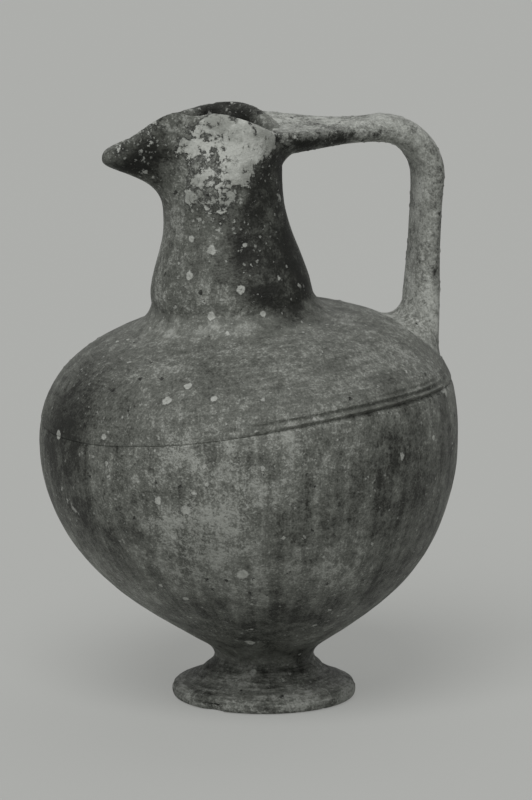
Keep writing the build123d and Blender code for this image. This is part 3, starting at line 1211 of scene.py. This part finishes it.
@dataclass
class Foot:
    """The stemmed spreading foot."""

    radius: float = 37.2
    edge: float = 6.5
    bulge: float = 2.0
    slope: Point = (24.0, 12.4)
    height: float = 20.0
    stem: float = 19.0
    hollow_radius: float = 26.0
    hollow_depth: float = 9.0
    hollow_rings: Tuple[float, ...] = (3.0, 9.0, 15.0, 20.0, 24.0)
    resting_ring: Tuple[Point, ...] = ((25.6, 0.25), (26.6, 0.0), (30.0, 0.0), (33.5, 0.0))
    chip: Place = (-30.5, -23.5, 0.0)
    chip_reach: float = 6.0
    segments: int = 96

    def build(self) -> Piece:
        """Throws the foot from the hollow under it to the top of its stem.

        Returns:
            The foot.
        """
        shoulder = self.radius - self.bulge
        dome = (self.hollow_radius**2 + self.hollow_depth**2) / (2 * self.hollow_depth)
        points: List[Point] = []
        for radius in self.hollow_rings:
            points.append((radius, self.hollow_depth - dome + math.sqrt(dome**2 - radius**2)))
        points += [*self.resting_ring, (shoulder, 0.25)]
        for step in range(1, 5):
            turn = math.pi * step / 5
            points.append((shoulder + self.bulge * math.sin(turn), 0.5 * self.edge * (1 - math.cos(turn))))
        top = Outline(
            [(shoulder, self.edge), self.slope, (self.stem, self.height)], start=(-1, 0.35), end=(-0.1, 1)
        )
        points += top.spaced(0.8, top.length, 2.4)
        stations = [Station(radius, Vector((0, 0, height))) for radius, height in points]
        foot = Bench.throw("foot_visual", stations, self.segments)
        Bench.subdivide(foot, 2)
        Bench.press(foot, "turning_marks", -0.35, self._turning_marks)
        Bench.press(foot, "uneven", -0.4, self._uneven)
        Bench.press(foot, "chip", -3.2, self._chip)
        Bench.press(foot, "worn_edge", -0.5, self._worn_edge)
        return foot

    def _turning_marks(self, place: Vector) -> float:
        """Rings left by the turning tool on the stem and the slope.

        Args:
            place: A place in millimetres.

        Returns:
            The weight, 0 to 1.
        """
        if place.z < 0.6 * self.edge:
            return 0.0
        drift = 0.6 * noise.noise(place / 20)
        return 0.5 + 0.5 * math.sin(2.6 * (place.z + 0.35 * place.xy.length + drift))

    @staticmethod
    def _uneven(place: Vector) -> float:
        """Unevenness of the upper side, leaving the resting ring flat."""
        return fade(place.z, 0.5, 2.5) * (0.5 + 0.5 * roughness_at(place, 9.0))

    def _chip(self, place: Vector) -> float:
        """A broken bite at the lower edge, seen at the front left."""
        away = (place - Vector(self.chip)).length
        return fade(self.chip_reach + 1.8 * noise.noise(place / 2.5) - away, 0, 4.0)

    def _worn_edge(self, place: Vector) -> float:
        """Small nicks round the rim of the foot.

        Args:
            place: A place in millimetres.

        Returns:
            The weight, 0 to 1.
        """
        if place.xy.length < self.radius - 3:
            return 0.0
        return fade(roughness_at(place, 4.0), 0.25, 0.8)


@dataclass
class Belly:
    """The round belly, thrown on the wheel and burnished with upright strokes."""

    lean: Lean
    seam: Seam
    wall: float = 5.5
    floor: float = 8.0
    foot: Point = (19.0, 20.0)
    low: Point = (40.2, 33.0)
    middle: Point = (67.1, 57.0)
    widest: Point = (84.3, 105.0)
    rim: Point = (82.9, 122.0)
    ring_step: float = 4.4
    seam_step: float = 1.6
    seam_reach: float = 8.0
    inside_step: float = 11.0
    segments: int = 96

    def build(self) -> Piece:
        """Throws the wall from under the floor up to the seam and down inside.

        Returns:
            The belly.
        """
        outer = Outline([self.foot, self.low, self.middle, self.widest, self.rim], (1, 0.5), (-0.22, 1))
        inner = Outline(
            [
                inset(self.rim, self.wall, 1, 0),
                inset(self.widest, self.wall, 1, 0),
                inset(self.middle, self.wall, 0.80, 0.60),
                inset(self.low, self.wall, 0.58, 0.81),
                inset(self.foot, self.floor, 0, 1),
            ],
            (0.22, -1),
            (-1, -0.3),
        )
        close = outer.length - self.seam_reach
        points = outer.spaced(0, close - 1.5, self.ring_step)
        points += outer.spaced(close, outer.length - self.seam_step, self.seam_step)
        points.append((self.rim[0] - 0.05, self.rim[1] - 0.8))
        points += self.seam.lapped(self.rim, 1)
        points += inner.spaced(0, inner.length, self.inside_step)
        points.append((8.0, self.foot[1] + self.floor - 0.3))
        stations = [self.lean.sagging_station(radius, height) for radius, height in points]
        belly = Bench.throw("belly_visual", stations, self.segments)
        self.seam.stray(belly, self.lean)
        Bench.subdivide(belly, 2)
        Bench.press(belly, "seam_lines", -1.2, self.seam.lines(self.lean))
        Bench.press(belly, "uneven", -0.5, uneven(26.0))
        Bench.press(belly, "burnish", -0.25, self._burnish)
        Bench.press(belly, "pits", -0.5, spots(3.2, 0.75, 1.1))
        return belly

    def _burnish(self, place: Vector) -> float:
        """Shallow facets left by upright burnishing.

        Args:
            place: A place in millimetres.

        Returns:
            The weight, 0 to 1.
        """
        angle, _, _ = self.lean.upper_place(place)
        turn = math.radians(angle)
        return 0.5 + 0.5 * noise.noise(Vector((8 * math.cos(turn), 8 * math.sin(turn), place.z / 60)))


@dataclass
class Shoulder:
    """The shoulder that closes in from the seam to the seat of the neck."""

    lean: Lean
    seam: Seam
    wall: float = 5.5
    rim: Point = (82.9, 122.0)
    middle: Point = (74.0, 138.0)
    seat: Point = (41.0, 155.5)
    hole: float = 28.6
    ring_step: float = 3.4
    seam_step: float = 1.5
    seam_reach: float = 12.0
    inside_step: float = 10.0
    segments: int = 96

    def build(self) -> Piece:
        """Throws the wall from the seam up to the seat and back down inside.

        Returns:
            The shoulder.
        """
        outer = Outline([self.rim, self.middle, self.seat], (-0.22, 1), (-1, 0.3))
        inner = Outline(
            [
                (self.hole, self.seat[1] - self.wall),
                inset(self.middle, self.wall, 0.77, -0.63),
                inset(self.rim, self.wall, 1, 0),
            ],
            (1, -0.1),
            (0.22, -1),
        )
        points = self.seam.lapped(self.rim, -1)[::-1]
        points.append((self.rim[0] - 0.2, self.rim[1] + 0.8))
        points += outer.spaced(self.seam_step, self.seam_reach, self.seam_step)
        points += outer.spaced(self.seam_reach + 2.5, outer.length, self.ring_step)
        points.append((self.hole, self.seat[1]))
        points += inner.spaced(0, inner.length, self.inside_step)
        stations = [self.lean.station(radius, height) for radius, height in points]
        shoulder = Bench.throw("shoulder_visual", stations, self.segments)
        Bench.join_ends(shoulder, self.segments)
        self.seam.stray(shoulder, self.lean)
        Bench.subdivide(shoulder, 2)
        Bench.press(shoulder, "seam_lines", -1.2, self.seam.lines(self.lean))
        Bench.press(shoulder, "ridge", 0.35, self.seam.ridge(self.lean))
        Bench.press(shoulder, "uneven", -0.4, uneven(22.0))
        Bench.press(shoulder, "wiping", -0.2, self._wiping)
        Bench.press(shoulder, "grit", 0.3, spots(2.6, 0.55, 1.0))
        return shoulder

    def _wiping(self, place: Vector) -> float:
        """Ridges dragged round by a wiping hand.

        Args:
            place: A place in millimetres.

        Returns:
            The weight, 0 to 1.
        """
        angle, radius, height = self.lean.upper_place(place)
        turn = math.radians(angle)
        along = Vector((1.6 * math.cos(turn), 1.6 * math.sin(turn), (height - radius) / 3.0))
        return 0.5 + 0.5 * noise.noise(along)


@dataclass
class Neck:
    """The conical neck and its pinched three-lobed mouth."""

    lean: Lean
    weathering: Weathering
    grain: float = 0.75
    nicked_above: float = 222.0
    sag_depth: float = 1.6
    sag_turn: float = -141.0
    sag_spread: float = 13.0
    sag_from: float = 230.0
    sag_full: float = 238.0
    clean_from: float = 234.0
    clean_full: float = 237.0

    def build(self) -> Piece:
        """Softens a copy of the neck's solid and wears its surface.

        Returns:
            The neck.
        """
        neck = Bench.copy_solid("neck", "neck_visual")
        Bench.soften(neck, self.grain, 8)
        Bench.press(neck, "uneven", -0.35, uneven(15.0))
        Bench.press(neck, "pits", -0.5, spots(2.8, 0.7, 1.1))
        Bench.press(neck, "lip_nicks", -0.6, self._nicks)
        Bench.press(neck, "lip_sag", -self.sag_depth, self._sag)
        field = self.weathering.thickest(self.weathering.crust, Bench.places(neck))
        crusted = np.clip((field - 0.2) / 0.4, 0, 1)
        Bench.press(neck, "scabs", 0.25, self._scabs, crusted)
        return neck

    def _sag(self, place: Vector) -> float:
        """A shallow sag of the near lip where the spout begins.

        Args:
            place: A place in millimetres.

        Returns:
            The weight, 0 to 1.
        """
        if place.z < self.nicked_above:
            return 0.0
        angle, _, height = self.lean.upper_place(place)
        near = hump(turn_between(angle, self.sag_turn), 0, self.sag_spread)
        return near * fade(height, self.sag_from, self.sag_full)

    def _nicks(self, place: Vector) -> float:
        """Small losses along the lip.

        Args:
            place: A place in millimetres.

        Returns:
            The weight, 0 to 1.
        """
        if place.z < self.nicked_above:
            return 0.0
        return fade(roughness_at(place, 4.5), 0.3, 0.8)

    def _scabs(self, place: Vector) -> float:
        """Lumps of lime, which leave the top of the lip alone."""
        clean = fade(place.z, self.clean_from, self.clean_full)
        return (1 - clean) * fade(roughness_at(place, 3.4), 0.0, 0.9)


@dataclass
class Handle:
    """The pulled strap handle."""

    grain: float = 0.6

    def build(self) -> Piece:
        """Softens a copy of the strap's solid and roughens it.

        Returns:
            The strap.
        """
        handle = Bench.copy_solid("handle", "handle_visual")
        Bench.soften(handle, self.grain, 14)
        Bench.press(handle, "uneven", -0.4, uneven(17.0))
        Bench.press(handle, "scabs", 0.3, spots(2.6, 0.4, 0.9))
        return handle


@dataclass(frozen=True)
class Joint:
    """A joint that is smeared over: its lute, the two solids it joins and its box, in millimetres.

    The grain is the edge length of the smear's mesh, and more passes of smoothing round its corner more.
    """

    lute: str
    solids: Tuple[str, str]
    low: Place
    high: Place
    grain: float
    passes: int


@dataclass
class Lutes:
    """The clay smeared over each joint."""

    joints: Tuple[Joint, ...] = (
        Joint("foot_lute", ("foot", "belly"), (-29, -28, 13), (26, 28, 29), 0.7, 40),
        Joint("neck_lute", ("neck", "shoulder"), (-60, -49, 142), (39, 49, 178), 1.0, 190),
        Joint("handle_top_lute", ("handle", "neck"), (-6, -22, 197), (34, 22, 238), 0.7, 60),
        Joint("handle_root_lute", ("handle", "shoulder"), (30, -36, 124), (82, 36, 182), 1.2, 260),
    )
    sunk: float = 0.55
    coil_grain: float = 1.2

    def build(self) -> Dict[str, Piece]:
        """Smears the joints of foot, neck and strap, and copies the coil inside the seam.

        Returns:
            The new pieces by the name of the solid each stands for.
        """
        pieces = {joint.lute: self._smear(joint) for joint in self.joints}
        coil = Bench.copy_solid("seam_lute", "seam_lute_visual")
        Bench.soften(coil, self.coil_grain, 4)
        pieces["seam_lute"] = Bench.drop_crumbs(coil)
        return pieces

    def _smear(self, joint: Joint) -> Piece:
        """Runs the solids at a joint together and softens them, as a thumb smears wet clay.

        The smear lies just under the pieces it joins and shows only where it fills their corner.

        Args:
            joint: The joint to smear over.

        Returns:
            The smear, trimmed to the joint's box.
        """
        name = f"{joint.lute}_visual"
        copies = [Bench.copy_solid(node, f"{name}_{node}") for node in (joint.lute, *joint.solids)]
        Bench.pick(copies[0])
        for copy in copies[1:]:
            copy.select_set(True)
        bpy.ops.object.join()
        piece = copies[0]
        piece.name = name
        Bench.soften(piece, joint.grain, joint.passes)
        sink = piece.modifiers.new("sink", "DISPLACE")
        sink.mid_level = 0.0
        sink.strength = -self.sunk * MM
        Bench.apply(piece, sink)
        self._trim(piece, Vector(joint.low) * MM, Vector(joint.high) * MM)
        piece.data.materials.clear()
        piece.data.polygons.foreach_set("material_index", np.zeros(len(piece.data.polygons), np.int32))
        return Bench.drop_crumbs(piece)

    @staticmethod
    def _trim(piece: Piece, low: Vector, high: Vector) -> None:
        """Cuts away all of a piece that lies outside a box, given by two corners in metres.

        Args:
            piece: The piece.
            low: Lowest corner of the box.
            high: Highest corner of the box.
        """
        Bench.clear()
        bpy.ops.mesh.primitive_cube_add(size=1.0, location=0.5 * (low + high), scale=high - low)
        block = bpy.context.object
        trim = piece.modifiers.new("trim", "BOOLEAN")
        trim.operation = "INTERSECT"
        trim.solver = "MANIFOLD"
        trim.object = block
        Bench.apply(piece, trim)
        bpy.data.objects.remove(block, do_unlink=True)


@dataclass(frozen=True)
class Window:
    """A broad light far off: its turn from the camera, height and width in degrees, and its strength.

    The strength is the light on a surface that faces it, in watts for each square metre.
    """

    turn: float
    height: float
    spread: float
    strength: float


@dataclass
class Studio:
    """The pale floor, the soft light and the camera at the photograph's angle."""

    azimuth: float = -18.0
    elevation: float = 11.5
    distance: float = 3000.0
    aim_height: float = 115.0
    view_height: float = 320.0
    picture_height: int = 800
    slide: Point = (2.0, 14.4)
    sensor: float = 24.0
    far: float = 100.0
    floor_size: float = 24.0
    windows: Tuple[Window, ...] = (Window(-14, 54, 36, 2.25), Window(170, 50, 60, 0.5))
    room_light: float = 0.5
    floor: Colour = grey(183, 184, 181)
    floor_pale: Colour = grey(188, 189, 186)
    background: Colour = grey(167, 168, 165)
    glow: float = 0.62

    @staticmethod
    def towards(azimuth: float, elevation: float) -> Vector:
        """The direction from the jug at a turn from its front and a height above the floor, in degrees.

        Args:
            azimuth: The turn from the front.
            elevation: The height above the floor.

        Returns:
            The direction.
        """
        turn = math.radians(azimuth)
        lift = math.radians(elevation)
        level = math.cos(lift)
        return Vector((math.sin(turn) * level, -math.cos(turn) * level, math.sin(lift)))

    def camera(self) -> None:
        """Sets the camera so that the jug fills the picture as in the photograph."""
        lens = bpy.data.cameras.new("camera")
        lens.sensor_fit = "VERTICAL"
        lens.sensor_height = self.sensor
        lens.lens = self.sensor * self.distance / self.view_height
        lens.shift_x = self.slide[0] / self.picture_height
        lens.shift_y = self.slide[1] / self.picture_height
        lens.clip_end = self.far
        camera = bpy.data.objects.new("camera", lens)
        bpy.context.scene.collection.objects.link(camera)
        back = self.towards(self.azimuth, self.elevation)
        camera.location = (Vector((0, 0, self.aim_height)) + back * self.distance) * MM
        camera.rotation_euler = back.to_track_quat("Z", "Y").to_euler()
        bpy.context.scene.camera = camera

    def light(self, window: Window) -> None:
        """Lights the jug evenly from one side.

        Args:
            window: The light.
        """
        light = bpy.data.lights.new("window", "SUN")
        light.angle = math.radians(window.spread)
        light.energy = window.strength
        lamp = bpy.data.objects.new("window", light)
        bpy.context.scene.collection.objects.link(lamp)
        direction = self.towards(self.azimuth + window.turn, window.height)
        lamp.rotation_euler = direction.to_track_quat("Z", "Y").to_euler()

    def pale_floor(self) -> bpy.types.Material:
        """A matt floor, of which the camera sees a set grey mixed with how it is lit.

        Returns:
            The material.
        """
        material = bpy.data.materials.new("pale_floor")
        material.use_nodes = True
        wiring = Wiring(material.node_tree)
        place = wiring.add("ShaderNodeTexCoord").outputs["Object"]
        mottled = wiring.mix(wiring.grain(place, Noise.FLOOR), self.floor, self.floor_pale)
        surface = wiring.add("ShaderNodeBsdfPrincipled", {"Base Color": mottled, "Roughness": 0.9})
        glow = wiring.add("ShaderNodeEmission", {"Color": self.background})
        rays = wiring.add("ShaderNodeLightPath")
        seen = wiring.larger(rays.outputs["Is Camera Ray"], rays.outputs["Is Glossy Ray"])
        seen = wiring.larger(seen, rays.outputs["Is Transmission Ray"])
        share = wiring.times(seen, self.glow)
        sockets = {0: share, 1: surface.outputs["BSDF"], 2: glow.outputs["Emission"]}
        both = wiring.add("ShaderNodeMixShader", sockets)
        wiring.add("ShaderNodeOutputMaterial", {"Surface": both.outputs["Shader"]})
        return material

    def build(self) -> None:
        """Builds the floor, the world, the light and the camera."""
        Bench.clear()
        bpy.ops.mesh.primitive_plane_add(size=self.floor_size, location=(0, 0, 0))
        floor = bpy.context.object
        floor.name = "floor"
        floor.data.materials.append(self.pale_floor())
        world = bpy.data.worlds.new("soft_room")
        world.use_nodes = True
        room = world.node_tree.nodes["Background"]
        room.inputs["Color"].default_value = (0.5, 0.5, 0.5, 1.0)
        room.inputs["Strength"].default_value = self.room_light
        bpy.context.scene.world = world
        for window in self.windows:
            self.light(window)
        bpy.context.scene.view_settings.view_transform = "Standard"
        self.camera()


class Jug:
    """The whole jug, built piece by piece and dressed."""

    def __init__(self) -> None:
        """Gathers the sizes, the shared effects and the deposits."""
        self.lean = Lean()
        self.seam = Seam()
        self.effects = SharedEffects()
        self.weathering = Weathering()
        self.clays: Dict[str, bpy.types.Material] = {}

    def build(self) -> None:
        """Builds every piece, lays the lime and gives each its clay."""
        self.dress(Foot().build(), TURNED, None, "foot_clay", "foot")
        self.dress(Belly(self.lean, self.seam).build(), BURNISHED, None, "burnished_clay", "belly")
        self.dress(Shoulder(self.lean, self.seam).build(), WIPED, self.lean, "wiped_clay", "shoulder")
        self.dress(Neck(self.lean, self.weathering).build(), CRUSTED, self.lean, "crusted_clay", "neck")
        self.dress(Handle().build(), STRAP, self.lean, "strap_clay", "handle")
        lutings = {"foot_lute": LOW_LUTING, "handle_root_lute": STRAP_LUTING}
        for node, piece in Lutes().build().items():
            self.dress(piece, lutings.get(node, LUTING), self.lean, "luting_clay", node)

    def dress(
        self, piece: Piece, finish: ClayFinish, lean: Optional[Lean], slot: str, node: str
    ) -> None:
        """Lays the lime on a piece, gives it its clay and seats it.

        Args:
            piece: The built piece.
            finish: Its clay.
            lean: The lean of its axis, if it stands above the seam.
            slot: The record's material slot.
            node: The solid that the piece stands for.
        """
        self.weathering.lay_on(piece)
        if finish.name not in self.clays:
            self.clays[finish.name] = finish.material(self.effects, lean)
        piece.data.materials.append(self.clays[finish.name])
        Bench.hand_in(piece, slot, node)


def main() -> None:
    """Builds the studio and the jug, in order."""
    logging.basicConfig(level=logging.INFO, format="%(name)s: %(message)s")
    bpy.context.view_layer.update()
    Studio().build()
    Jug().build()


if __name__ == "__main__":
    main()
